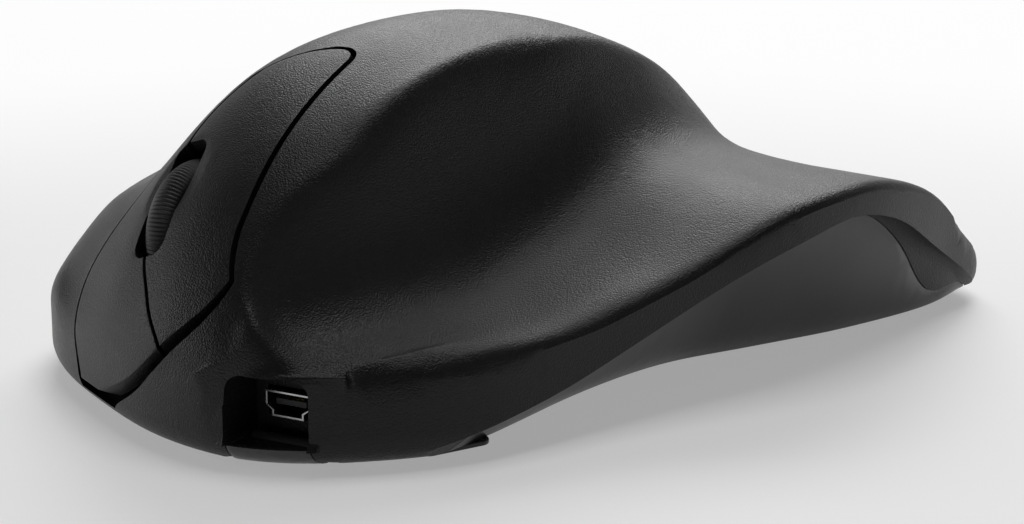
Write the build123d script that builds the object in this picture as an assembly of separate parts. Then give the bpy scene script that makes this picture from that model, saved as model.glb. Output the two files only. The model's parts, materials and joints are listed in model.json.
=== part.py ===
from build123d import *
import os
import numpy as np
from scipy.interpolate import CubicSpline, PchipInterpolator

os.makedirs("parts", exist_ok=True)


def flowing(stations):
    """A smooth curve through (where, value) stations."""
    where, value = zip(*sorted(stations))
    spline = CubicSpline(where, value, bc_type="natural")
    return lambda at: spline(np.clip(at, where[0], where[-1]))


def steady(stations):
    """A smooth curve through (where, value) stations that never overshoots them."""
    where, value = zip(*sorted(stations))
    curve = PchipInterpolator(where, value)
    return lambda at: curve(np.clip(at, where[0], where[-1]))


def lower_of(a, b, soft):
    """The lower of two heights, with their crease rounded."""
    return (a + b) / 2 - np.sqrt(((a - b) / 2) ** 2 + soft ** 2)


def upper_of(a, b, soft):
    """The higher of two heights, with their valley rounded."""
    return -lower_of(-a, -b, soft)


# The hand hump: highest at its crown, a full nose in front, a long slope to the heel of the hand
hump_height = 56.8
crown_y = 9.0
heel_reach = 89.5
heel_power = 1.85
nose_power = 2.3
side_power = 2.2
shoulder_step = 18.0
foot_share = 0.057
nose_front = flowing([(-60, 20), (-36, 46), (-27, 61), (-20, 69), (-10, 75.6), (2, 78), (16, 75.6),
                      (34, 66.5), (47, 57), (58, 45), (66, 30)])
crest_x = flowing([(78, 10), (40, 8), (10, 2), (-20, -5), (-50, -12), (-78, -14)])
right_spread = flowing([(78, 48), (40, 48), (10, 50), (-20, 56), (-50, 66), (-78, 72)])
shoulder_drop = steady([(78, 0), (50, 7), (0, 7), (-20, 5), (-45, 0), (-78, 0)])

# The raised shelf for the ring and little fingers, right of the hump
shelf_height = 33.5
shelf_x = 44.0
shelf_y = 7.0
shelf_base = -6.0
shelf_front = 56.0
shelf_rear = 87.0
shelf_right = 21.5
shelf_left = 60.0
shelf_power = 2.0
valley_soft = 3.0

# The thumb wing and the steep wall between it and the hump
wing_edge = steady([(78, 12), (68, 14), (60, 15.5), (43, 16.5), (18, 22.5), (0, 29.5), (-15, 31),
                    (-40, 26), (-60, 14), (-78, 4.6)])
wall_x = flowing([(80, 0), (65, -1), (61, -3.5), (53, -8), (30, -14), (10, -17), (-8, -18),
                  (-23, -18), (-50, -15), (-80, -10)])
wall_slope = 6.0
wall_round = 6.0
wall_tail = 1.3
crease_soft = 2.0
nose_fill = 9.0
nose_fill_y = 46.0
nose_fill_length = 24.0

# The wing's rim, and the edge of the under-wing beneath it
rim_soft = 1.9
rim_slope = 6.0
rim_height = 5.0
left_rim = flowing([(78, -10), (67.5, -20), (60, -27), (43, -36), (18, -47), (0, -56), (-15, -60.5),
                    (-38, -62.8), (-60, -63.6), (-78, -61.5)])
strip_foot = steady([(78, -0.5), (70, -0.5), (65, 1.0), (57, 4.2), (50, 6.2), (43, 8), (29, 12.8),
                     (12, 19.5), (0, 23.5), (-13, 25.5), (-29, 21.5), (-42, 15), (-56, 8),
                     (-66, 2.5), (-74, -0.5), (-84, -0.5)])
foot_line = steady([(78, -9), (71, -15), (60, -21), (45, -23.5), (23, -25.3), (3, -29.2),
                    (-19, -41), (-37, -50.4), (-60, -57), (-84, -55)])
strip_flat = 0.35
edge_height = 0.8
soft_depth = -8.0
soft_foot = 3.0


def dome(share):
    """A round shoulder that ends in a straight steep foot."""
    full = np.sqrt(np.maximum(share, foot_share))
    foot = np.minimum(share - foot_share, 0) / (2 * np.sqrt(foot_share))
    return full + foot


def hump(x, y):
    forward = np.maximum(y - crown_y, 0) / np.maximum(nose_front(x) - crown_y, 5)
    backward = np.maximum(crown_y - y, 0) / heel_reach
    along = np.where(y > crown_y, dome(1 - forward ** nose_power), 1 - backward ** heel_power)
    right = np.maximum(x - crest_x(y), 0) / right_spread(y)
    left = np.maximum(crest_x(y) - x, 0) / shoulder_step
    drop = shoulder_drop(y) * left ** 2 / (1 + left ** 2)
    return hump_height * along * (1 - right ** side_power) - drop


def shelf(x, y):
    along = np.abs(y - shelf_y) / np.where(y > shelf_y, shelf_front, shelf_rear)
    across = np.abs(x - shelf_x) / np.where(x > shelf_x, shelf_right, shelf_left)
    share = 1 - along ** shelf_power - across ** shelf_power
    return shelf_base + (shelf_height - shelf_base) * dome(share)


def scoop(x, y):
    reach = x - wall_x(y)
    rise = wall_slope / 2 * (reach + np.sqrt(reach ** 2 + wall_round ** 2))
    return wing_edge(y) - wall_tail + rise


def rim(x, y):
    return (x - left_rim(y)) * rim_slope + wing_edge(y) - rim_height


def bowl(x, y, soft):
    """The hump and shelf with the thumb scoop taken out of them."""
    body = upper_of(hump(x, y), shelf(x, y), valley_soft)
    return lower_of(body, scoop(x, y), soft)


def skin(x, y):
    """The bowl carried on past the wing's rim, with a fuller crease at the nose, for inner faces."""
    soft = crease_soft + nose_fill * np.clip((y - nose_fill_y) / nose_fill_length, 0, 1) ** 2
    return upper_of(bowl(x, y, soft), soft_depth, soft_foot)


def top(x, y):
    """The whole outer form."""
    return upper_of(lower_of(bowl(x, y, crease_soft), rim(x, y), rim_soft), soft_depth, soft_foot)


def under_wing(x, y):
    """The underside of the wing, from its strip down to the foot line and on below the desk."""
    start = left_rim(y)
    share = (x - start) / (foot_line(y) - start)
    slide = np.maximum(share - strip_flat, 0) / (1 - strip_flat)
    ease = np.minimum(slide, 1) ** 2 * (3 - 2 * np.minimum(slide, 1))
    beyond = np.maximum(slide - 1, 0) * 6.0
    return strip_foot(y) + (edge_height - 0.9 - strip_foot(y)) * ease - beyond


# Faces over the plan: each line of the net runs from the left to the right edge of the form
grid_left = steady([(82, -26), (66, -26), (60, -30), (43, -39), (18, -50), (0, -59), (-15, -63.5),
                    (-38, -65.5), (-60, -66), (-82, -66)])
grid_right = steady([(82, 52), (60, 56), (45, 62), (30, 67), (15, 69), (-15, 67), (-48, 60),
                     (-68, 52), (-82, 50)])
grid_nose = flowing([(-70, 64), (-40, 66), (-27, 68), (-20, 71), (-10, 76.5), (2, 79.5), (16, 77),
                     (34, 68), (47, 58.5), (58, 47), (66, 34), (74, 22)])
rear_lines = 10
nose_shares = [0, 0.17, 0.33, 0.48, 0.61, 0.72, 0.81, 0.88, 0.94, 1.0]
wall_marks = [(0, 3), (1, 3), (2, 8), (3, 4), (4, 4)]
grid_rear = -83.0


def across_places(y):
    """Where the net's points lie from left to right, close together at the thumb wall."""
    left, wall, right = grid_left(y), wall_x(y), grid_right(y)
    marks = [left, left + 7, wall - 13, wall + 8, right - 12, right]
    places = []
    for index, count in wall_marks:
        for step in range(count):
            places.append(marks[index] + (marks[index + 1] - marks[index]) * step / count)
    places.append(right)
    return places


def net_lines():
    """The plan positions of the net: straight lines behind the crown, bowed ones before it."""
    width = sum(count for index, count in wall_marks) + 1
    lines = []
    for y in np.linspace(grid_rear, crown_y, rear_lines, endpoint=False):
        lines.append((np.array([float(p) for p in across_places(y)]), np.full(width, y)))
    for share in nose_shares:
        y = np.full(width, 30.0)
        for turn in range(12):
            x = np.array([float(p[k]) for k, p in enumerate(across_places(y))])
            y = crown_y + (grid_nose(x) - crown_y) * share
        lines.append((x, y))
    return lines


def sheet(height, drop=0.0, lines=None):
    """A smooth face over the plan, or the face that lies drop below it, square to it."""
    step = 0.05
    rows = []
    for x, y in lines or net_lines():
        z = height(x, y)
        slope_x = (height(x + step, y) - height(x - step, y)) / (2 * step)
        slope_y = (height(x, y + step) - height(x, y - step)) / (2 * step)
        size = np.sqrt(slope_x ** 2 + slope_y ** 2 + 1)
        rows.append(np.c_[x + drop * slope_x / size, y + drop * slope_y / size, z - drop / size])
    rows = np.array(rows)
    lengths = np.linalg.norm(np.diff(rows, axis=1), axis=2)
    shares = (np.cumsum(lengths, axis=1) / lengths.sum(axis=1, keepdims=True)).mean(axis=0)
    places = [0.0] + [float(share) for share in shares[:-1]] + [1.0]
    wires = []
    for row in rows:
        wires.append(Wire([Edge.make_spline([Vector(*point) for point in row], parameters=places)]))
    return Shell.make_loft(wires, ruled=False).faces()[0]


def below(face):
    return extrude(face, amount=90, dir=(0, 0, -1))


# The plan outline and the solid form inside it
outline_points = [(6, 76.4), (-10, 73.6), (-19.5, 67), (-26.5, 60), (-35.7, 43), (-46.7, 18), (-55.7, 0),
                  (-60.2, -15), (-62.4, -35), (-63, -58), (-60, -72), (-46, -76.5), (-10, -77),
                  (20, -75), (42, -67), (55, -48), (61.5, -15), (63.5, 15), (60, 40), (48, 55.5),
                  (34, 65), (20, 72.5)]
plan_curve = Edge.make_spline([Vector(x, y) for x, y in outline_points], periodic=True)
edge_relief = 0.3
foot_round = 5.0
wall = 2.2
wing_inset = 5.0
case_gap = 0.2
plate_thick = 2.2
ring_quarters = [0, 0.25, 0.5, 0.75, 1]
wing_part = steady([(80, 0), (72, 0), (64, 1), (-52, 1), (-66, 0), (-80, 0)])


def ring(side_inset, wing_extra, steps):
    """The plan curve drawn in all round, and further beneath the wing, in four spans."""
    points = []
    for step in range(steps):
        place = plan_curve @ (step / steps)
        along = plan_curve % (step / steps)
        share = float(wing_part(place.Y)) if place.X < 0 else 0.0
        points.append(place + Vector(-along.Y, along.X) * (side_inset + wing_extra * share))
    curve = Edge.make_spline(points, periodic=True)
    spans = [curve.trim(start, end) for start, end in zip(ring_quarters, ring_quarters[1:])]
    return Face(Wire(spans))


def prism(face, start, height):
    return Pos(0, 0, start) * extrude(face, amount=height, dir=(0, 0, 1))


def wing_lines():
    """The net for the under-wing faces."""
    lines = []
    for y in np.linspace(-84, 78, 19):
        start, foot = left_rim(y), foot_line(y)
        shares = np.concatenate([np.linspace(-0.45, strip_flat, 3), np.linspace(0.45, 1.3, 9)])
        lines.append((start + (foot - start) * shares, np.full(len(shares), y)))
    return lines


outline = ring(edge_relief, 0.0, 32)
inside = ring(wall, wing_inset - wall, 48)
plate_outline = ring(wall + case_gap, wing_inset - wall, 48)
under_cut = below(sheet(under_wing, lines=wing_lines()))
foot_form = prism(outline, edge_height, 70)
foot_form = fillet(foot_form.edges().sort_by(Axis.Z)[:len(ring_quarters) - 1], foot_round)
outer = (below(sheet(top)) & foot_form) - under_cut
inner = below(sheet(skin, wall))
core = below(sheet(skin, wall / 2))
hollow = inner & prism(inside, -10, 80)
form_shell = outer - hollow
parts = {}

# The tilted deck under the buttons: its own frame is x, s down the slope, h square to it
deck = Plane(origin=(0, 0, 0), x_dir=(1, 0, 0), z_dir=(0, 0.6, 0.8))
face_slant = Plane(origin=(0, 0, 0), x_dir=(1, 0, 0), z_dir=(0, 1, 1))


def block(x0, x1, y0, y1, z0, z1):
    """A box between two corners."""
    return Pos((x0 + x1) / 2, (y0 + y1) / 2, (z0 + z1) / 2) * Box(x1 - x0, y1 - y0, z1 - z0)


def bar(radius, x0, x1, y, z):
    """A round bar along X."""
    return Pos((x0 + x1) / 2, y, z) * Rot(0, 90, 0) * Cylinder(radius, x1 - x0)


def post(radius, x, y, z0, z1):
    """An upright round bar."""
    return Pos(x, y, (z0 + z1) / 2) * Cylinder(radius, z1 - z0)


def tilted(shape):
    return deck.location * shape


# The two button plates share one almond opening, drawn square to the front slope
button_gap = 0.4
thumb_gap = 0.5
lip_gap = 1.7
seam_gap = 0.75
slant_reach = 90.0
lip_height = 5.0


almond_places = [(4.8, -12.0), (4.6, 22.0), (4.2, 27.0), (3.0, 31.0), (6.0, 35.4), (12.7, 40.4),
                 (18.4, 43.1), (24.5, 43.9), (34.8, 42.6), (36.5, 41.9), (37.2, 40.3), (39.1, 34.2),
                 (39.5, 27.4), (36.6, 20.6), (28.0, 5.0), (17.9, -8.6), (13.6, -11.8), (8.5, -14.2),
                 (6.0, -14.3)]
almond_corners = [1, 3, 8, 10, 17, 19]
lip_corners = range(4, 11)
thumb_corners = [0, 1, 2, 3, 17, 18]


def almond(gap=0.0, lip=0.0, thumb=0.0):
    """The outline of the two buttons, widened by gap, more beside the thumb, and moved out at its lip."""
    count = len(almond_places)
    moved = []
    for index, (x, y) in enumerate(almond_places):
        before = almond_places[index - 1]
        after = almond_places[(index + 1) % count]
        run = Vector(after[0] - before[0], after[1] - before[1]).normalized()
        further = lip if index in lip_corners else 0.0
        aside = gap + (thumb if index in thumb_corners else 0.0)
        moved.append(Vector(x - run.Y * aside, y + run.X * aside + further))
    moved.append(moved[0])
    edges = [Edge.make_line(moved[0], moved[1])]
    for start, end in zip(almond_corners, almond_corners[1:]):
        edges.append(Edge.make_spline(moved[start:end + 1]))
    return Face(Wire(edges))


def slanted(face):
    """A prism square through the front slope."""
    return face_slant.location * extrude(face, amount=slant_reach, dir=(0, 0, 1))


def above(shape, height):
    """The part of a shape over one height."""
    return shape & block(-90, 90, -90, 90, height, 90)


def seam_side(offset, far):
    """Everything on one side of the seam between the two buttons."""
    places = [(12.4, 50.0), (13.7, 40.4), (17.0, 35.9), (18.8, 32.6), (20.7, 29.3), (22.2, 17.0),
              (23.0, 5.5), (17.9, -9.5), (15.5, -16.0)]
    seam = Edge.make_spline([Vector(x + offset, y) for x, y in places])
    start, end = seam @ 0, seam @ 1
    lines = [Edge.make_line(end, (far, end.Y)), Edge.make_line((far, end.Y), (far, start.Y))]
    return Face(Wire([seam] + lines + [Edge.make_line((far, start.Y), start)]))


# The wheel, and the slot that it turns in
wheel_x = 21.2
wheel_radius = 11.0
wheel_width = 4.6
wheel_s = 25.8
wheel_h = 54.5
slot_width = 7.0
slot_top = 7.6
slot_foot = 27.8
slot_round = 2.4
slot_middle = (slot_top + slot_foot) / 2
slot_sketch = RectangleRounded(slot_width, slot_foot - slot_top, slot_round)
slot_face = Pos(wheel_x, slot_middle) * slot_sketch
slot = face_slant.location * extrude(slot_face, amount=slant_reach, dir=(0, 0, 1))

# Heights on the deck
deck_board_top = 43.0
board_thick = 1.6
frame_thick = 2.0
frame_top = deck_board_top - board_thick
pin_s = 8.8
pin_h = 51.6
pin_radius = 1.0
running_gap = 0.05
hub_radius = 2.2
rest_gap = 0.1
switch_width = 5.8
switch_length = 12.8
switch_height = 6.3
switch_start = 18.0
plunger_s = 25.0
plunger_radius = 0.9
plunger_rise = 0.9
plunger_depth = 1.8
plunger_room = 0.7
stem_radius = 1.5
left_switch_x = 12.1
right_switch_x = 31.2
plunger_top = deck_board_top + switch_height + plunger_rise
stem_foot = plunger_top + rest_gap

# Button plates, with a shallow dish round the wheel
dish_radius = 60.0
dish_depth = 1.0
dish_across = slot_middle - 3.0


def slant_place(x, across):
    """The place on the outer form above one place of the face slant."""
    low, high = 0.0, slant_reach
    for turn in range(30):
        middle = (low + high) / 2
        y, z = (middle + across) / np.sqrt(2), (middle - across) / np.sqrt(2)
        if z < float(top(np.array([x]), np.array([y]))[0]):
            low = middle
        else:
            high = middle
    return Vector(x, y, z)


dish_middle = slant_place(wheel_x, dish_across)
dish_run = slant_place(wheel_x + 1, dish_across) - slant_place(wheel_x - 1, dish_across)
dish_rise = slant_place(wheel_x, dish_across - 1) - slant_place(wheel_x, dish_across + 1)
dish_normal = dish_rise.cross(dish_run).normalized()
dish_centre = dish_middle + dish_normal * (dish_radius - dish_depth)
plate = (form_shell & above(slanted(almond()), lip_height)) - Pos(*dish_centre) * Sphere(dish_radius)
left_plate = (plate & slanted(seam_side(-seam_gap / 2, -40.0))) - slot
right_plate = (plate & slanted(seam_side(seam_gap / 2, 80.0))) - slot
ear_width = 2.4
left_ear_places = [8.0, 13.0]
right_ear_x = 27.7
right_ear_width = 1.7
right_web_s = 19.0
arm_drop = 1.0
deck_high = 75.0


def stem(x):
    return tilted(Pos(x, plunger_s, (stem_foot + deck_high) / 2)
                  * Cylinder(stem_radius, deck_high - stem_foot)) & core


def ear(x0, x1, web_s, web_length):
    """A plate from the pin up into the button, round at the pin and bored for it."""
    hub = bar(hub_radius, x0, x1, pin_s, pin_h)
    arm = block(x0, x1, pin_s, web_s + web_length, pin_h - arm_drop, pin_h + hub_radius)
    web = block(x0, x1, web_s, web_s + web_length, pin_h - arm_drop, deck_high)
    bore = bar(pin_radius + running_gap, x0 - 1, x1 + 1, pin_s, pin_h)
    return tilted((hub + arm + web) - bore) & core


parts["left_button"] = left_plate + stem(left_switch_x)
for ear_x in left_ear_places:
    parts["left_button"] += ear(ear_x, ear_x + ear_width, pin_s - hub_radius, 2 * hub_radius)
right_ear = ear(right_ear_x, right_ear_x + right_ear_width, right_web_s, 2 * hub_radius)
parts["right_button"] = right_plate + stem(right_switch_x) + right_ear

# The port recess in the nose, and the frame that the socket looks through
port_left = -11.3
port_right = 0.8
port_top = 14.5
port_round = 2.5
port_floor = 67.8
port_wall = 1.2
socket_x = -5.5
socket_z = 9.0
socket_width = 7.7
socket_height = 3.9
socket_front = 69.2
socket_length = 9.2
window_gap = 0.35
sill_top = 4.0
nose_reach = 82.0
port_width = port_right - port_left
port_x = (port_left + port_right) / 2
port_plane = Plane(origin=(port_x, nose_reach, 0), x_dir=(1, 0, 0), z_dir=(0, -1, 0))
port_height = port_top + 10
port_sketch = Pos(0, port_top - port_height / 2) * RectangleRounded(port_width, port_height, port_round)
port_hole = extrude(port_plane.location * port_sketch, amount=nose_reach - port_floor)
window = block(socket_x - socket_width / 2 - window_gap, socket_x + socket_width / 2 + window_gap,
               port_floor - 3 * port_wall, nose_reach,
               socket_z - socket_height / 2 - window_gap, socket_z + socket_height / 2 + window_gap)
port_box = block(port_left - port_wall, port_right + port_wall, port_floor - port_wall, nose_reach,
                 sill_top, port_top + port_wall) & core

# Screw places: bosses in the upper shell, and two posts under the frame of the deck
screw_radius = 1.1
screw_head_radius = 2.4
screw_head_thick = 1.0
screw_length = 6.5
screw_gap = 0.05
sink_gap = 0.2
boss_radius = 3.0
boss_places = [(41.0, 28.0), (38.0, -48.0), (-38.0, -50.0)]
frame_posts = [(7.0, 33.0), (32.0, 33.0), (7.5, 54.0), (31.0, 52.0)]
plate_top = edge_height + plate_thick
head_seat = edge_height + 1.2

shell = form_shell - above(slanted(almond(button_gap, lip_gap, thumb_gap)), lip_height - lip_gap)
shell = (shell + port_box) - port_hole - window
for x, y in boss_places:
    shell += post(boss_radius, x, y, plate_top, deck_high) & core
    shell -= post(screw_radius + screw_gap, x, y, plate_top - 1, head_seat + screw_length + 0.5)
parts["upper_shell"] = shell

# The base: a flat plate that turns up beneath the wing, with the sill of the port
plate_prism = prism(plate_outline, edge_height, 60)
under_top = below(sheet(under_wing, -plate_thick, lines=wing_lines()))
base = ((plate_prism & under_top) + prism(plate_outline, edge_height, plate_thick)) & foot_form
base = (base - under_cut) & below(sheet(skin, wall + case_gap))
sill = block(port_left + case_gap, port_right - case_gap, port_floor - 3, nose_reach, edge_height, sill_top)
base -= block(port_left - 2, port_right + 2, port_floor - 3, nose_reach, 0, plate_top + 1)
base += sill & outer
rib_radius = 0.9
rib = bar(rib_radius, port_left + 1.2, port_right - 1.2, port_floor + 2.4, sill_top)
base += rib

sensor_x = 6.0
sensor_y = 0.0
window_radius = 3.6
base -= post(window_radius, sensor_x, sensor_y, 0, plate_top + 1)
for x, y in boss_places + frame_posts:
    base -= post(screw_radius + 0.15, x, y, 0, plate_top + 1)
    base -= post(screw_head_radius + sink_gap, x, y, 0, head_seat)

# The main board stands on four posts of the base
board_top = socket_z - socket_height / 2
board_foot = board_top - board_thick
board_screws = [(-10.5, -28.0), (25.0, -28.0), (25.0, 18.0), (-9.0, 50.0)]
small_radius = 0.8
small_head = 1.7
small_head_thick = 0.9
small_length = 3.4
stand_radius = 2.2
for x, y in board_screws:
    base += post(stand_radius, x, y, plate_top - 0.5, board_foot)
    base -= post(small_radius + screw_gap, x, y, board_top - small_length - 0.4, board_foot + 1)

main_board = block(-14.0, 28.5, -32.0, 24.0, board_foot, board_top)
main_board += block(-13.0, 2.0, 23.0, port_floor - port_wall - case_gap, board_foot, board_top)
main_board -= block(sensor_x - 5, sensor_x + 5, sensor_y - 4, sensor_y + 4, 0, board_top + 1)
for x, y in board_screws:
    main_board -= post(small_radius + 0.15, x, y, 0, board_top + 1)
parts["main_board"] = main_board

heads = []
for x, y in board_screws:
    head = post(small_head, x, y, board_top, board_top + small_head_thick)
    heads.append(head + post(small_radius, x, y, board_top - small_length, board_top + 0.1))
parts["board_screws"] = Compound(heads)

# The power switch: a body on the base plate, and a slider that a finger reaches from below
power_x = 24.0
power_y = -46.0
power_travel = 2.4
slider_width = 3.2
slider_length = 3.6
slider_gap = 0.3
slot_y0 = power_y - slider_length / 2 - slider_gap
slot_y1 = power_y + slider_length / 2 + power_travel + slider_gap
base -= block(power_x - slider_width / 2 - slider_gap, power_x + slider_width / 2 + slider_gap,
              slot_y0, slot_y1, 0, plate_top + 1)
power_body = block(power_x - 4.5, power_x + 4.5, power_y - 7, power_y + 9, plate_top, plate_top + 4.5)
power_body -= block(power_x - 3.2, power_x + 3.2, power_y - 4.6, power_y + 4.6 + power_travel,
                    plate_top - 1, plate_top + 2.4)
parts["power_switch_body"] = power_body
knob = block(power_x - slider_width / 2, power_x + slider_width / 2, power_y - slider_length / 2,
             power_y + slider_length / 2, edge_height + 0.3, plate_top + 0.8)
for ridge in (-1.1, 0.0, 1.1):
    knob -= bar(0.3, power_x - slider_width, power_x + slider_width, power_y + ridge, edge_height + 0.3)
keeper = block(power_x - 2.8, power_x + 2.8, power_y - 4.0, power_y + 4.0, plate_top + 0.2, plate_top + 2.1)
parts["power_switch_slider"] = knob + keeper

# Sensor, lens, lamp and the chips on the main board
lens_thick = board_foot - plate_top - 0.1
lens = block(sensor_x - 8, sensor_x + 8, sensor_y - 6, sensor_y + 6, plate_top, plate_top + lens_thick)
lens += post(window_radius - 0.4, sensor_x, sensor_y, plate_top - 1.2, plate_top + 0.1)
lens += post(2.4, sensor_x, sensor_y, plate_top + lens_thick - 0.1, board_foot + 0.8)
parts["sensor_lens"] = lens
chip = block(sensor_x - 6.5, sensor_x + 6.5, sensor_y - 5.5, sensor_y + 5.5, board_top, board_top + 3.0)
parts["sensor_chip"] = chip
lamp = Pos(sensor_x, sensor_y + 11.0, board_top + 2.5) * Rot(90, 0, 0) * Cylinder(2.5, 5.0)
lamp += Pos(sensor_x, sensor_y + 8.5, board_top + 2.5) * Sphere(2.5)
parts["sensor_lamp"] = lamp
parts["controller_chip"] = block(-9.5, -1.5, -22.0, -14.0, board_top, board_top + 1.4)

# The battery lies on the base plate behind the board
battery = block(-20.0, 12.0, -64.0, -38.0, plate_top, plate_top + 5.0)
parts["battery_cell"] = fillet(battery.edges().filter_by(Axis.X), 2.2)

# The socket: a folded metal shell, its tongue and five contacts
socket_wall = 0.35
socket_back = socket_front - socket_length
socket_step = 1.1
half_width = socket_width / 2
half_height = socket_height / 2


def socket_profile(inset):
    """The mouth: full width above, stepped in below."""
    wide = half_width - inset
    low = half_height - inset
    narrow = wide - socket_step
    corners = [(-wide, low), (wide, low), (wide, -0.2), (narrow, -low * 0.55), (narrow, -low),
               (-narrow, -low), (-narrow, -low * 0.55), (-wide, -0.2)]
    return make_face(Polyline(*corners, close=True))


socket_plane = Plane(origin=(socket_x, socket_front, socket_z), x_dir=(1, 0, 0), z_dir=(0, -1, 0))
socket_tube = extrude(socket_plane.location * socket_profile(0.0), amount=socket_length)
socket_bore = extrude(socket_plane.location * socket_profile(socket_wall), amount=socket_length)
parts["usb_socket_shell"] = socket_tube - socket_bore
insulator = socket_bore & block(-30, 30, socket_back, socket_back + 1.6, 0, 30)
tongue_top = socket_z + 0.55
tongue = block(socket_x - 2.6, socket_x + 2.6, socket_back + 1.0, socket_front - 1.0, socket_z - 0.35, tongue_top)
parts["usb_socket_tongue"] = insulator + tongue
contacts = []
for index in range(5):
    contact_x = socket_x + (index - 2) * 0.8
    contacts.append(block(contact_x - 0.2, contact_x + 0.2, socket_back + 1.6, socket_front - 1.6,
                          tongue_top, tongue_top + 0.15))
parts["usb_contacts"] = Compound(contacts)

# The frame of the deck, on four posts, with the saddles that hold the two pins
frame = tilted(block(4.0, 33.5, 3.0, 43.0, frame_top - frame_thick, frame_top))
frame_slot = tilted(block(17.3, 26.1, 14.0, 34.5, frame_top - 10, frame_top + 10))
frame_under = tilted(block(-60, 60, -60, 120, -60, frame_top - frame_thick / 2))
for x, y in frame_posts:
    frame += post(boss_radius, x, y, plate_top, 40) & frame_under
frame -= frame_slot
carrier_s = 6.0
carrier_h = 47.0
carrier_radius = 0.9
pin_start = 4.8
pin_end = 29.8
saddle_length = 4.4
saddle_half = 2.3
saddle_rise = pin_h + hub_radius
saddle_s = pin_s - saddle_length / 2
frame += tilted(block(5.0, 7.0, saddle_s, saddle_s + saddle_length, frame_top - 1, saddle_rise))
frame += tilted(block(wheel_x - saddle_half, wheel_x + saddle_half, 4.0, 10.6, frame_top - 1, saddle_rise))
frame -= tilted(bar(pin_radius + 0.01, 3.0, 32.0, pin_s, pin_h))
frame -= tilted(bar(carrier_radius + 0.01, 15.0, 29.0, carrier_s, carrier_h))
for x, y in frame_posts:
    frame -= post(screw_radius + screw_gap, x, y, plate_top - 1, head_seat + screw_length + 0.5)
parts["inner_frame"] = frame
parts["button_pivot_pin"] = tilted(bar(pin_radius, pin_start, pin_end, pin_s, pin_h))
parts["carrier_pin"] = tilted(bar(carrier_radius, 15.7, 27.7, carrier_s, carrier_h))

screws = []
for x, y in boss_places + frame_posts:
    shank = post(screw_radius, x, y, head_seat - 0.1, head_seat + screw_length)
    screws.append(post(screw_head_radius, x, y, head_seat - screw_head_thick, head_seat) + shank)
parts["case_screws"] = Compound(screws)

# The board on the deck, its three switches and the two eyes of the wheel's encoder
switch_board = block(4.0, 33.5, 11.6, 43.0, frame_top, deck_board_top)
parts["switch_board"] = tilted(switch_board - block(17.6, 25.8, 14.6, 33.8, 0, 60))


def switch(x):
    body = block(x - switch_width / 2, x + switch_width / 2, switch_start, switch_start + switch_length,
                 deck_board_top, deck_board_top + switch_height)
    top_height = deck_board_top + switch_height
    return tilted(body - post(plunger_radius + running_gap, x, plunger_s,
                              top_height - plunger_depth - plunger_room, top_height + 1))


def plunger(x, s, radius, rise, depth, top_height):
    return tilted(post(radius, x, s, top_height - depth, top_height + rise))


switch_top = deck_board_top + switch_height
parts["left_switch"] = switch(left_switch_x)
parts["right_switch"] = switch(right_switch_x)
parts["left_switch_plunger"] = plunger(left_switch_x, plunger_s, plunger_radius, plunger_rise,
                                       plunger_depth, switch_top)
parts["right_switch_plunger"] = plunger(right_switch_x, plunger_s, plunger_radius, plunger_rise,
                                        plunger_depth, switch_top)
middle_s = 39.0
middle_top = deck_board_top + 3.2
middle_rise = 1.0
middle_radius = 1.6
middle_body = block(wheel_x - 3, wheel_x + 3, middle_s - 3, middle_s + 3, deck_board_top, middle_top)
middle_body -= post(middle_radius + running_gap, wheel_x, middle_s, middle_top - 2.0, middle_top + 1)
parts["middle_switch"] = tilted(middle_body)
parts["middle_switch_plunger"] = plunger(wheel_x, middle_s, middle_radius, middle_rise, 1.0, middle_top)
eye_low = deck_board_top + 5.5
emitter = block(15.2, 17.3, wheel_s - 1.5, wheel_s + 1.5, deck_board_top, eye_low)
receiver = block(26.1, 28.2, wheel_s - 1.5, wheel_s + 1.5, deck_board_top, eye_low)
parts["encoder_emitter"] = tilted(emitter)
parts["encoder_receiver"] = tilted(receiver)

# The wheel carrier: two arms from their pin to the axle, joined in front of the wheel
arm_thick = 1.5
arm_gap = 0.5
arm_inner = wheel_width / 2 + arm_gap
axle_radius = 1.2
axle_hub = 2.3
carrier_foot = middle_top + middle_rise + rest_gap
carrier = None
for side in (-1, 1):
    near, far = sorted([wheel_x + side * arm_inner, wheel_x + side * (arm_inner + arm_thick)])
    rear = Polyline((carrier_s, carrier_h - 2), (carrier_s, carrier_h + 2), (wheel_s, wheel_h + axle_hub),
                    (wheel_s, wheel_h - axle_hub), close=True)
    front = Polyline((wheel_s, wheel_h - axle_hub), (wheel_s, wheel_h + axle_hub),
                     (middle_s + 1.8, carrier_foot + 2.0), (middle_s + 1.8, carrier_foot),
                     (middle_s - 1.8, carrier_foot), close=True)
    side_plane = Plane(origin=(near, 0, 0), x_dir=(0, 1, 0), z_dir=(1, 0, 0))
    arm = extrude(side_plane.location * make_face(rear), amount=arm_thick)
    arm += extrude(side_plane.location * make_face(front), amount=arm_thick)
    arm += bar(axle_hub, near, far, wheel_s, wheel_h) + bar(2.0, near, far, carrier_s, carrier_h)
    arm -= bar(axle_radius + running_gap, near - 1, far + 1, wheel_s, wheel_h)
    arm -= bar(carrier_radius + running_gap, near - 1, far + 1, carrier_s, carrier_h)
    carrier = arm if carrier is None else carrier + arm
carrier += block(wheel_x - arm_inner - 0.5, wheel_x + arm_inner + 0.5, middle_s - 1.8, middle_s + 1.8,
                 carrier_foot, carrier_foot + 2.0)
parts["wheel_carrier"] = tilted(carrier)

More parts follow.
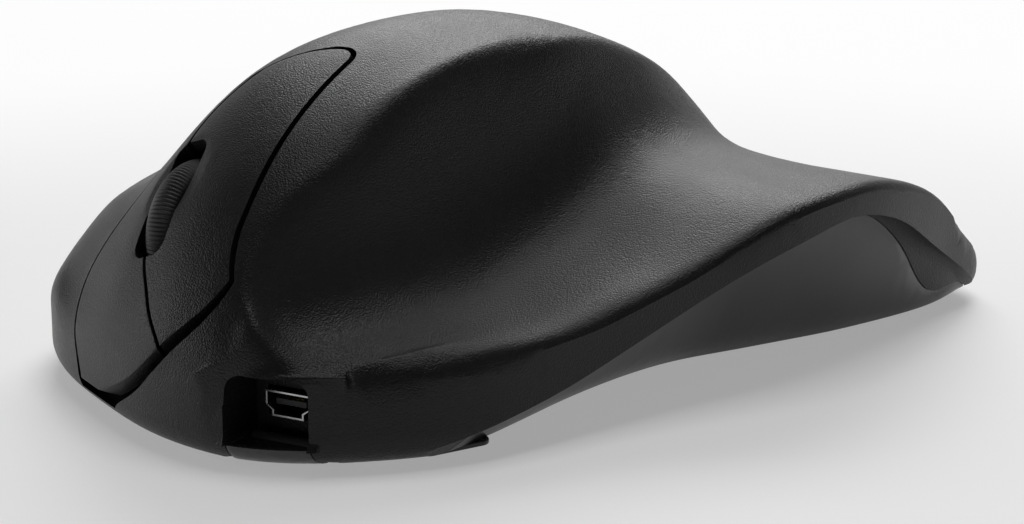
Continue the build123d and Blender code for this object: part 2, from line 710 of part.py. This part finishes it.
# The wheel: a ribbed tyre on a slotted hub, turning on its axle
rib_count = 60
rib_depth = 0.3
tyre_wall = 2.2
hub_outer = wheel_radius - tyre_wall
wheel_plane = Plane(origin=(wheel_x - wheel_width / 2, 0, 0), x_dir=(0, 1, 0), z_dir=(1, 0, 0))
rib_corners = []
for index in range(rib_count):
    for share, depth in ((0.0, rib_depth), (0.22, 0.0), (0.62, 0.0), (0.84, rib_depth)):
        angle = 2 * np.pi * (index + share) / rib_count
        reach = wheel_radius - depth
        rib_corners.append((reach * np.cos(angle), reach * np.sin(angle)))
ribbed = extrude(wheel_plane.location * make_face(Polyline(*rib_corners, close=True)), amount=wheel_width)
tread = [(0.0, 1.5), (0.6, 0.55), (1.5, 0.0)]
tread_half = wheel_width / 2
tread_left = [(across - tread_half, wheel_radius - drop) for across, drop in tread]
tread_right = [(-across, reach) for across, reach in reversed(tread_left)]
tread_line = [(-tread_half, 0)] + tread_left + tread_right + [(tread_half, 0)]
crown = Pos(wheel_x, 0, 0) * revolve(make_face(Polyline(*tread_line, close=True)), Axis.X)
tyre = (ribbed & crown) - bar(hub_outer, wheel_x - wheel_width, wheel_x + wheel_width, 0, 0)
hub = bar(hub_outer, wheel_x - wheel_width / 2 + 0.3, wheel_x + wheel_width / 2 - 0.3, 0, 0)
hub -= bar(hub_outer - 1.0, wheel_x - wheel_width, wheel_x - 0.8, 0, 0)
hub -= bar(hub_outer - 1.0, wheel_x + 0.8, wheel_x + wheel_width, 0, 0)
hub += bar(3.2, wheel_x - wheel_width / 2, wheel_x + wheel_width / 2, 0, 0)
spoke_count = 18
for index in range(spoke_count):
    opening = block(wheel_x - 2, wheel_x + 2, 4.6, hub_outer - 1.4, -0.5, 0.5)
    hub -= Rot(360 * index / spoke_count, 0, 0) * opening
hub -= bar(axle_radius, wheel_x - wheel_width, wheel_x + wheel_width, 0, 0)
axle_reach = arm_inner + arm_thick + 0.2
axle = bar(axle_radius, wheel_x - axle_reach, wheel_x + axle_reach, 0, 0)
wheel_place = Pos(0, wheel_s, wheel_h)
parts["wheel_tyre"] = tilted(wheel_place * tyre)
parts["wheel_hub"] = tilted(wheel_place * hub)
parts["wheel_axle"] = tilted(wheel_place * axle)

# The glide feet under the base
foot_places = [(38.0, 42.0, 14.0, 6.0, -48.0), (-22.0, 51.0, 12.0, 4.0, 62.0), (-6.0, -68.0, 36.0, 6.0, 0.0)]
feet = []
for x, y, length, width, turn in foot_places:
    pad = extrude(RectangleRounded(length, width, width / 2 - 0.2), amount=edge_height)
    feet.append(Pos(x, y, 0) * Rot(0, 0, turn) * pad)
parts["glide_feet"] = Compound(feet)
parts["base_shell"] = base

for name, piece in parts.items():
    export_step(piece, f"parts/{name}.step")
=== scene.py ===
import bpy
import bmesh
import json
import math
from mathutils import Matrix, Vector
from mathutils.kdtree import KDTree


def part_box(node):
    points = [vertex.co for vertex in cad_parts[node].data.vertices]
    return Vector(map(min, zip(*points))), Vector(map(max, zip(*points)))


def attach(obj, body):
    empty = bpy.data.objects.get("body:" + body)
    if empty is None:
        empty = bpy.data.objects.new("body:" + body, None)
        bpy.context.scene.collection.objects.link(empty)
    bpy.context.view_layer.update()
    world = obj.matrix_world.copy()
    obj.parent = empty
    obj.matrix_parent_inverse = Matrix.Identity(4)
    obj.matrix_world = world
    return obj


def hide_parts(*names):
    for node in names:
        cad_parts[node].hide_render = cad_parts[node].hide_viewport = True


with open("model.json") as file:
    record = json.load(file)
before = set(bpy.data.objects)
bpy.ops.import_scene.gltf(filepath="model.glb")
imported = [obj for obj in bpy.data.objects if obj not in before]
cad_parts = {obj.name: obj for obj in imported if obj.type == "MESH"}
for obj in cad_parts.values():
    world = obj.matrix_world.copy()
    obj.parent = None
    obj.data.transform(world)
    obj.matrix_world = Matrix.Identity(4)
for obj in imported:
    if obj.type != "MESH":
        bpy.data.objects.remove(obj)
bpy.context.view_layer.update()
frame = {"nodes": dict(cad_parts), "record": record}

scene = bpy.context.scene
scene.view_settings.view_transform = "Standard"


# node groups that several finishes share

def newGroup(name, inputs, outputs):
    group = bpy.data.node_groups.new(name, "ShaderNodeTree")
    for label, kind, value in inputs:
        socket = group.interface.new_socket(label, in_out="INPUT", socket_type=kind)
        socket.default_value = value
    for label, kind in outputs:
        group.interface.new_socket(label, in_out="OUTPUT", socket_type=kind)
    return group, group.nodes.new("NodeGroupInput"), group.nodes.new("NodeGroupOutput")


def feed(tree, socket, value):
    # a socket takes another node's output or a plain value
    if hasattr(value, "is_output"):
        tree.links.new(value, socket)
    elif value is not None:
        socket.default_value = value


def addMath(tree, operation, first, second=None, third=None, clamp=False):
    node = tree.nodes.new("ShaderNodeMath")
    node.operation = operation
    node.use_clamp = clamp
    for socket, value in zip(node.inputs, (first, second, third)):
        feed(tree, socket, value)
    return node.outputs[0]


def mixColor(tree, factor, first, second):
    node = tree.nodes.new("ShaderNodeMix")
    node.data_type = "RGBA"
    # a colour mix has its factor at input 0, its colours at 6 and 7, and its result at output 2
    for index, value in ((0, factor), (6, first), (7, second)):
        feed(tree, node.inputs[index], value)
    return node.outputs[2]


def noiseAt(tree, place, scale, detail, roughness):
    node = tree.nodes.new("ShaderNodeTexNoise")
    for label, value in (("Vector", place), ("Scale", scale), ("Detail", detail), ("Roughness", roughness)):
        feed(tree, node.inputs[label], value)
    return node.outputs["Fac"]


def rampAt(tree, value, fromMin, fromMax, toMin=0.0, toMax=1.0, kind="LINEAR"):
    node = tree.nodes.new("ShaderNodeMapRange")
    node.interpolation_type = kind
    for label, level in (("Value", value), ("From Min", fromMin), ("From Max", fromMax),
                         ("To Min", toMin), ("To Max", toMax)):
        feed(tree, node.inputs[label], level)
    return node.outputs["Result"]


grainLook = dict(cells=2600.0, clouds=40.0, fine=(2.0, 0.55), fineShare=0.6, cellShare=0.6,
                 cloud=(3.0, 0.6), cloudRange=(0.35, 0.65), speckRange=(0.56, 0.72))


def grainGroup(look):
    # moulded grain: fine cells for the bump, broad clouds for colour and gloss
    inputs = [("Vector", "NodeSocketVector", (0, 0, 0)), ("Cells", "NodeSocketFloat", look["cells"]),
              ("Clouds", "NodeSocketFloat", look["clouds"])]
    outputs = [(label, "NodeSocketFloat") for label in ("Height", "Mask", "Specks")]
    group, source, target = newGroup("mouldedGrain", inputs, outputs)
    place = source.outputs["Vector"]
    fine = noiseAt(group, place, source.outputs["Cells"], *look["fine"])
    cells = group.nodes.new("ShaderNodeTexVoronoi")
    group.links.new(place, cells.inputs["Vector"])
    group.links.new(source.outputs["Cells"], cells.inputs["Scale"])
    rise = addMath(group, "MULTIPLY_ADD", cells.outputs["Distance"], -look["cellShare"], look["cellShare"])
    height = addMath(group, "ADD", addMath(group, "MULTIPLY", fine, look["fineShare"]), rise)
    clouds = noiseAt(group, place, source.outputs["Clouds"], *look["cloud"])
    group.links.new(height, target.inputs["Height"])
    group.links.new(rampAt(group, clouds, *look["cloudRange"]), target.inputs["Mask"])
    group.links.new(rampAt(group, fine, *look["speckRange"]), target.inputs["Specks"])
    return group


wearLook = dict(start=0.56, end=0.66, patches=900.0, patch=(3.0, 0.6), patchRange=(0.35, 0.6))


def wearGroup(look):
    # edges that fingers rub: found from how sharply the surface turns
    inputs = [("Vector", "NodeSocketVector", (0, 0, 0)), ("Reach", "NodeSocketFloat", look["start"])]
    group, source, target = newGroup("rubbedEdges", inputs, [("Mask", "NodeSocketFloat")])
    turn = group.nodes.new("ShaderNodeNewGeometry").outputs["Pointiness"]
    edge = rampAt(group, turn, source.outputs["Reach"], look["end"])
    broken = noiseAt(group, source.outputs["Vector"], look["patches"], *look["patch"])
    mask = addMath(group, "MULTIPLY", edge, rampAt(group, broken, *look["patchRange"]), clamp=True)
    group.links.new(mask, target.inputs["Mask"])
    return group


grain = grainGroup(grainLook)
wear = wearGroup(wearLook)


# finishes: what a finish doesn't say is as here, and specks and worn edges take its shade

plainLook = dict(specks=0.3, glint=0.0, wear=0.4, rubGloss=0.12, bump=0.3, depth=0.00008,
                 metal=0.0, specular=0.5, clear=0.0, clearIndex=1.49)


def makeFinish(name, look):
    shade = look["shade"]
    look = {**plainLook, "speckColor": shade, "wornColor": shade, **look}
    finish = bpy.data.materials.new(name)
    finish.use_nodes = True
    tree = finish.node_tree
    shader = tree.nodes["Principled BSDF"]
    place = tree.nodes.new("ShaderNodeTexCoord").outputs["Object"]
    cells = tree.nodes.new("ShaderNodeGroup")
    cells.node_tree = grain
    cells.inputs["Cells"].default_value = look["cells"]
    cells.inputs["Clouds"].default_value = look["clouds"]
    tree.links.new(place, cells.inputs["Vector"])
    rub = tree.nodes.new("ShaderNodeGroup")
    rub.node_tree = wear
    tree.links.new(place, rub.inputs["Vector"])
    mask, specks, worn = cells.outputs["Mask"], cells.outputs["Specks"], rub.outputs["Mask"]

    def share(value, amount):
        return addMath(tree, "MULTIPLY", value, amount)

    color = mixColor(tree, mask, (*look["color"], 1), (*shade, 1))
    color = mixColor(tree, share(specks, look["specks"]), color, (*look["speckColor"], 1))
    color = mixColor(tree, share(worn, look["wear"]), color, (*look["wornColor"], 1))
    tree.links.new(color, shader.inputs["Base Color"])
    low, high = look["roughness"]
    rough = addMath(tree, "MULTIPLY_ADD", mask, high - low, low)
    rough = addMath(tree, "SUBTRACT", rough, share(worn, look["rubGloss"]))
    rough = addMath(tree, "SUBTRACT", rough, share(specks, look["glint"]))
    tree.links.new(rough, shader.inputs["Roughness"])
    bump = tree.nodes.new("ShaderNodeBump")
    bump.inputs["Strength"].default_value = look["bump"]
    bump.inputs["Distance"].default_value = look["depth"]
    tree.links.new(cells.outputs["Height"], bump.inputs["Height"])
    tree.links.new(bump.outputs["Normal"], shader.inputs["Normal"])
    shader.inputs["Metallic"].default_value = look["metal"]
    shader.inputs["Specular IOR Level"].default_value = look["specular"]
    if look["clear"]:
        shader.inputs["Transmission Weight"].default_value = look["clear"]
        shader.inputs["IOR"].default_value = look["clearIndex"]
    return finish


finishLooks = {
    "black_grain": dict(color=(0.006, 0.006, 0.0062), shade=(0.009, 0.009, 0.0092), roughness=(0.36, 0.46),
                        cells=3600, clouds=25, bump=0.85, depth=0.00012, specks=0.35,
                        speckColor=(0.02, 0.02, 0.02), wear=0.25, wornColor=(0.02, 0.02, 0.02),
                        specular=0.3, glint=0.1),
    "base_satin": dict(color=(0.046, 0.046, 0.0468), shade=(0.054, 0.054, 0.0548), roughness=(0.28, 0.36),
                       cells=2600, clouds=35, bump=0.1, depth=0.00005, specks=0.1, wear=0.25,
                       wornColor=(0.04, 0.04, 0.04), specular=0.5),
    "steel": dict(color=(0.55, 0.55, 0.56), shade=(0.42, 0.42, 0.43), roughness=(0.24, 0.38), metal=1.0,
                  cells=3000, clouds=180, bump=0.12, depth=0.00004, specks=0.2),
    "inner_black": dict(color=(0.02, 0.02, 0.021), shade=(0.03, 0.03, 0.031), roughness=(0.4, 0.55),
                        cells=2200, clouds=90, bump=0.25),
    "board_green": dict(color=(0.012, 0.09, 0.035), shade=(0.018, 0.12, 0.05), roughness=(0.28, 0.4),
                        cells=900, clouds=120, bump=0.12, specks=0.5, speckColor=(0.05, 0.2, 0.09)),
    "white_nylon": dict(color=(0.68, 0.67, 0.63), shade=(0.6, 0.59, 0.55), roughness=(0.38, 0.5),
                        cells=2600, clouds=150, bump=0.2),
    "red_nylon": dict(color=(0.5, 0.04, 0.03), shade=(0.4, 0.03, 0.025), roughness=(0.38, 0.5),
                      cells=2600, clouds=200, bump=0.2),
    "wheel_rubber": dict(color=(0.016, 0.016, 0.017), shade=(0.024, 0.024, 0.025), roughness=(0.5, 0.62),
                         cells=3200, clouds=160, bump=0.3, wear=0.5, wornColor=(0.05, 0.05, 0.05)),
    "clear_resin": dict(color=(0.75, 0.78, 0.82), shade=(0.7, 0.73, 0.78), roughness=(0.06, 0.14),
                        cells=1500, clouds=300, bump=0.05, clear=0.7),
    "dark_resin": dict(color=(0.015, 0.013, 0.02), shade=(0.02, 0.018, 0.025), roughness=(0.12, 0.2),
                       cells=1500, clouds=300, bump=0.05),
    "lens_clear": dict(color=(0.85, 0.87, 0.9), shade=(0.8, 0.83, 0.87), roughness=(0.03, 0.08),
                       cells=900, clouds=120, bump=0.03, clear=0.9),
    "lamp_red": dict(color=(0.6, 0.04, 0.03), shade=(0.5, 0.03, 0.02), roughness=(0.08, 0.15),
                     cells=900, clouds=200, bump=0.04, clear=0.4),
    "gilt": dict(color=(0.75, 0.52, 0.18), shade=(0.6, 0.4, 0.13), roughness=(0.2, 0.32), metal=1.0,
                 cells=3000, clouds=400, bump=0.08),
    "foil": dict(color=(0.4, 0.42, 0.45), shade=(0.33, 0.35, 0.38), roughness=(0.25, 0.42), metal=0.6,
                 cells=700, clouds=60, bump=0.25, depth=0.0002),
    "foot_slick": dict(color=(0.05, 0.05, 0.05), shade=(0.065, 0.065, 0.065), roughness=(0.2, 0.34),
                       cells=1800, clouds=100, bump=0.1),
}
finishes = {name: makeFinish(name, look) for name, look in finishLooks.items()}
slotOf = {part["node"]: part["material_slot"] for part in frame["record"]["subparts"]}
print("finishes", len(finishes))


# the CAD pieces take their finishes, and those that show get smoother copies

for name, slot in slotOf.items():
    paint = frame["nodes"][name].data.materials
    paint.clear()
    paint.append(finishes[slot])

skinMerge = 0.000002
skinFlat = 0.6  # degrees between faces that are joined into one

smoothLooks = {
    "upper_shell": dict(edge=0, turn=30, brim=True),
    "base_shell": dict(edge=0.0002, turn=38),
    "left_button": dict(edge=0.0003, turn=38),
    "right_button": dict(edge=0.0003, turn=38),
    "usb_socket_shell": dict(edge=0.00006, turn=30),
    "usb_socket_tongue": dict(edge=0.00006, turn=30),
    "glide_feet": dict(edge=0.0002, turn=30),
}

# the shell's outline is softened in these boxes, by rounds of ever smaller reach
brimLooks = {
    "noseEnd": dict(low=(-0.024, 0.060, 0.009), high=(-0.0128, 0.072, 0.019),
                    reaches=(0.003, 0.003, 0.0024, 0.0018)),
    "shelfEnd": dict(low=(0.040, 0.030, 0.008), high=(0.064, 0.062, 0.022),
                     reaches=(0.0024, 0.0019, 0.0015, 0.001)),
    "tailEnd": dict(low=(-0.064, -0.080, 0.005), high=(-0.054, -0.050, 0.018),
                    reaches=(0.002, 0.0016, 0.0012)),
}
brimTurn = 16
brimDown = -0.1
brimSamples = 4
brimMargin = 1.4
brimHalvings = 5
brimLongest = 0.0008
brimRounds = 10
brimPull = 0.5
brimMerge = 0.00001


def softenBrim(mesh, look):
    # an arris where the form meets its outline is rounded, as a moulding's is
    low, high = Vector(look["low"]), Vector(look["high"])

    def inBox(place):
        return all(a < p < b for a, p, b in zip(low, place, high))

    def outwards(item, place):
        return item.normal.dot(Vector((place.x, place.y, 0)).normalized()) > 0

    arris = [edge for edge in mesh.edges if len(edge.link_faces) == 2 and inBox(edge.verts[0].co)
             and edge.calc_face_angle(0) > math.radians(brimTurn)
             and all(outwards(face, edge.verts[0].co) and face.normal.z > brimDown
                     for face in edge.link_faces)]
    if not arris:
        return 0
    places = KDTree(brimSamples * len(arris))
    for index, edge in enumerate(arris):
        start, end = (vert.co for vert in edge.verts)
        for step in range(brimSamples):
            places.insert(start.lerp(end, step / (brimSamples - 1)), brimSamples * index + step)
    places.balance()

    def nearBy(reach):
        return [vert for vert in mesh.verts if inBox(vert.co) and outwards(vert, vert.co)
                and places.find(vert.co)[2] < reach]

    for halving in range(brimHalvings):
        near = set(nearBy(look["reaches"][0] * brimMargin))
        faces = {face for vert in near for face in vert.link_faces}
        bmesh.ops.triangulate(mesh, faces=[face for face in faces if len(face.verts) > 3])
        near = set(nearBy(look["reaches"][0] * brimMargin))
        long = [edge for edge in mesh.edges if edge.verts[0] in near and edge.verts[1] in near
                and edge.calc_length() > brimLongest]
        bmesh.ops.subdivide_edges(mesh, edges=long, cuts=1)
    for reach in look["reaches"]:
        near = nearBy(reach)
        for turn in range(brimRounds):
            bmesh.ops.smooth_vert(mesh, verts=near, factor=brimPull,
                                  use_axis_x=True, use_axis_y=True, use_axis_z=True)
    return len(arris)


def linkMesh(name, mesh, finish, smooth=True):
    # the finished mesh becomes an object at the origin, with one finish
    for face in mesh.faces:
        face.smooth = smooth
    data = bpy.data.meshes.new(name)
    mesh.to_mesh(data)
    mesh.free()
    data.materials.append(finish)
    piece = bpy.data.objects.new(name, data)
    scene.collection.objects.link(piece)
    return piece


def smoothCopy(name, look):
    mesh = bmesh.new()
    mesh.from_mesh(frame["nodes"][name].data)
    bmesh.ops.remove_doubles(mesh, verts=mesh.verts, dist=skinMerge)
    bmesh.ops.dissolve_limit(mesh, angle_limit=math.radians(skinFlat), verts=mesh.verts, edges=mesh.edges)
    if look.get("brim"):
        for zone, brim in brimLooks.items():
            print(zone, softenBrim(mesh, brim))
        # faces that the softening folded shut are cleared
        bmesh.ops.dissolve_degenerate(mesh, dist=brimMerge, edges=mesh.edges)
        bmesh.ops.remove_doubles(mesh, verts=mesh.verts, dist=brimMerge)
        bmesh.ops.triangulate(mesh, faces=mesh.faces)
        bmesh.ops.dissolve_degenerate(mesh, dist=brimMerge, edges=mesh.edges)
        for edge in mesh.edges:
            edge.smooth = edge.calc_face_angle(0) < math.radians(look["turn"])
    piece = linkMesh(name + "_skin", mesh, finishes[slotOf[name]])
    if look["edge"]:
        bevel = piece.modifiers.new("edges", "BEVEL")
        bevel.width = look["edge"]
        bevel.segments = 2
        bevel.limit_method = "ANGLE"
        bevel.angle_limit = math.radians(look["turn"])
        bevel.harden_normals = True
        bevel.use_clamp_overlap = True
    weighted = piece.modifiers.new("shading", "WEIGHTED_NORMAL")
    weighted.keep_sharp = True
    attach(piece, bodyOf[name])
    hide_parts(name)


bodies = frame["record"]["behaviour"]["bodies"]
bodyOf = {node: body for body, nodes in bodies.items() for node in nodes}
for name, look in smoothLooks.items():
    smoothCopy(name, look)
print("smoothed", len(smoothLooks))


# the wheel's tyre, with finer ribs than the solid's and a round tread

tyreLook = dict(ribs=104, depth=0.00028, cuts=(0.0, 0.0, 0.8, 0.8), crown=0.0013, wall=0.0022,
                power=2.3, acrossSteps=10, plain=0.0003, shoulder=1.02, shoulderRise=4)


def makeTyre(look):
    low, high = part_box("wheel_tyre")
    middle = (Vector(low) + Vector(high)) / 2
    half = (high[0] - low[0]) / 2
    radius = (high[2] - low[2]) / 2
    mesh = bmesh.new()
    inner = radius - look["wall"]
    start = []
    for step in range(look["acrossSteps"] + 1):
        across = 2 * step / look["acrossSteps"] - 1
        reach = radius - look["crown"] * abs(across) ** look["power"]
        start.append(mesh.verts.new(middle + Vector((half * across, reach, 0))))
    start.append(mesh.verts.new(middle + Vector((half, inner, 0))))
    start.insert(0, mesh.verts.new(middle + Vector((-half, inner, 0))))
    edges = [mesh.edges.new(pair) for pair in zip(start, start[1:] + start[:1])]
    ribSteps = len(look["cuts"])
    turns = look["ribs"] * ribSteps
    bmesh.ops.spin(mesh, geom=start + edges, cent=middle, axis=(1, 0, 0), dvec=(0, 0, 0),
                   angle=2 * math.pi, steps=turns, use_merge=True, use_normal_flip=False,
                   use_duplicate=False)
    for vert in mesh.verts:
        arm = vert.co - middle
        arm.x = 0
        if arm.length < inner + look["plain"]:
            continue
        turn = round(math.atan2(arm.z, arm.y) / (2 * math.pi) * turns) % ribSteps
        across = abs(vert.co.x - middle.x) / half
        fade = min(1.0, look["shoulderRise"] * (look["shoulder"] - across))  # ribs run out at the sides
        vert.co -= arm.normalized() * (look["depth"] * look["cuts"][turn] * fade)
    bmesh.ops.recalc_face_normals(mesh, faces=mesh.faces)
    tyre = linkMesh("tyre_tread", mesh, finishes["wheel_rubber"])
    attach(tyre, "wheel")
    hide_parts("wheel_tyre")


makeTyre(tyreLook)
print("tyre")


# floor, light and camera

stageLook = dict(size=3.0, color=(0.95, 0.95, 0.95), roughness=0.6,
                 glow=0.34, farGlow=0.9, near=0.1, far=0.3)


def makeFloor(look):
    # pale paint mixed with white emission for camera, glossy and transmission rays: a painted glow that
    # grows with the distance from the object, so the real cast shadow fades to plain white
    paint = bpy.data.materials.new("paleFloor")
    paint.use_nodes = True
    tree = paint.node_tree
    shader = tree.nodes["Principled BSDF"]
    shader.inputs["Base Color"].default_value = (*look["color"], 1)
    shader.inputs["Roughness"].default_value = look["roughness"]
    white = tree.nodes.new("ShaderNodeEmission")
    ray = tree.nodes.new("ShaderNodeLightPath")
    seen = addMath(tree, "MAXIMUM", ray.outputs["Is Camera Ray"], ray.outputs["Is Glossy Ray"])
    seen = addMath(tree, "MAXIMUM", seen, ray.outputs["Is Transmission Ray"])
    away = tree.nodes.new("ShaderNodeVectorMath")
    away.operation = "LENGTH"
    tree.links.new(tree.nodes.new("ShaderNodeTexCoord").outputs["Object"], away.inputs[0])
    # painted light: the white emission's share rises from glow near the object to farGlow far out
    fade = rampAt(tree, away.outputs["Value"], look["near"], look["far"],
                  look["glow"], look["farGlow"], "SMOOTHSTEP")
    share = addMath(tree, "MULTIPLY", seen, fade)
    mix = tree.nodes.new("ShaderNodeMixShader")
    tree.links.new(share, mix.inputs["Fac"])
    tree.links.new(shader.outputs[0], mix.inputs[1])
    tree.links.new(white.outputs[0], mix.inputs[2])
    tree.links.new(mix.outputs[0], tree.nodes["Material Output"].inputs["Surface"])
    mesh = bmesh.new()
    bmesh.ops.create_grid(mesh, x_segments=1, y_segments=1, size=look["size"])
    floor = linkMesh("floor", mesh, paint, smooth=False)


makeFloor(stageLook)

lampLooks = {
    "backSoft": dict(place=(0.35, -0.85, 0.7), aim=(0, 0, 0.03), size=(0.8, 0.45), power=6.0),
    "wingSoft": dict(place=(-0.95, -0.25, 0.22), aim=(-0.05, -0.02, 0.0), size=(0.5, 0.3), power=0.25),
    "topSoft": dict(place=(-0.05, -0.1, 1.0), aim=(0, 0, 0.03), size=(0.5, 0.5), power=3.0),
    "noseSoft": dict(place=(0.85, 0.35, 0.2), aim=(0.02, 0.04, 0.02), size=(0.35, 0.35), power=1.3),
}


def makeLamp(name, look):
    light = bpy.data.lights.new(name, "AREA")
    light.shape = "RECTANGLE"
    light.size, light.size_y = look["size"]
    light.energy = look["power"]
    lamp = bpy.data.objects.new(name, light)
    lamp.location = look["place"]
    aim = Vector(look["aim"]) - lamp.location
    lamp.rotation_euler = aim.to_track_quat("-Z", "Y").to_euler()
    scene.collection.objects.link(lamp)


for name, look in lampLooks.items():
    makeLamp(name, look)

worldLook = dict(back=(0.48, -0.87, 0.1), dim=0.04, bright=0.5, start=0.25, end=0.95)


def makeWorld(look):
    # a studio that is white behind the object and dim on the camera's side
    world = bpy.data.worlds.new("studio")
    scene.world = world
    world.use_nodes = True
    tree = world.node_tree
    background = tree.nodes["Background"]
    place = tree.nodes.new("ShaderNodeTexCoord").outputs["Generated"]
    turn = tree.nodes.new("ShaderNodeVectorMath")
    turn.operation = "DOT_PRODUCT"
    turn.inputs[1].default_value = Vector(look["back"]).normalized()
    tree.links.new(place, turn.inputs[0])
    shade = rampAt(tree, turn.outputs["Value"], look["start"], look["end"],
                   look["dim"], look["bright"], "SMOOTHSTEP")
    tree.links.new(shade, background.inputs["Strength"])
    seen = tree.nodes.new("ShaderNodeBackground")
    for light in (background, seen):
        light.inputs["Color"].default_value = (1, 1, 1, 1)
    ray = tree.nodes.new("ShaderNodeLightPath")
    either = addMath(tree, "MAXIMUM", ray.outputs["Is Camera Ray"], ray.outputs["Is Transmission Ray"])
    mix = tree.nodes.new("ShaderNodeMixShader")
    tree.links.new(either, mix.inputs["Fac"])
    tree.links.new(background.outputs[0], mix.inputs[1])
    tree.links.new(seen.outputs[0], mix.inputs[2])
    tree.links.new(mix.outputs[0], tree.nodes["World Output"].inputs["Surface"])


makeWorld(worldLook)

cameraLook = dict(place=(-0.1931, 0.3415, 0.1153), turn=209.0, dip=14.5, lens=85.0,
                  sensor=36.0, clipStart=0.01)


def makeCamera(look):
    data = bpy.data.cameras.new("camera")
    data.lens = look["lens"]
    data.sensor_width = look["sensor"]
    data.clip_start = look["clipStart"]
    camera = bpy.data.objects.new("camera", data)
    turn, dip = math.radians(look["turn"]), math.radians(look["dip"])
    ahead = Vector((-math.sin(turn) * math.cos(dip), math.cos(turn) * math.cos(dip), -math.sin(dip)))
    camera.location = look["place"]
    camera.rotation_euler = ahead.to_track_quat("-Z", "Y").to_euler()
    scene.collection.objects.link(camera)
    scene.camera = camera


makeCamera(cameraLook)
print("stage")
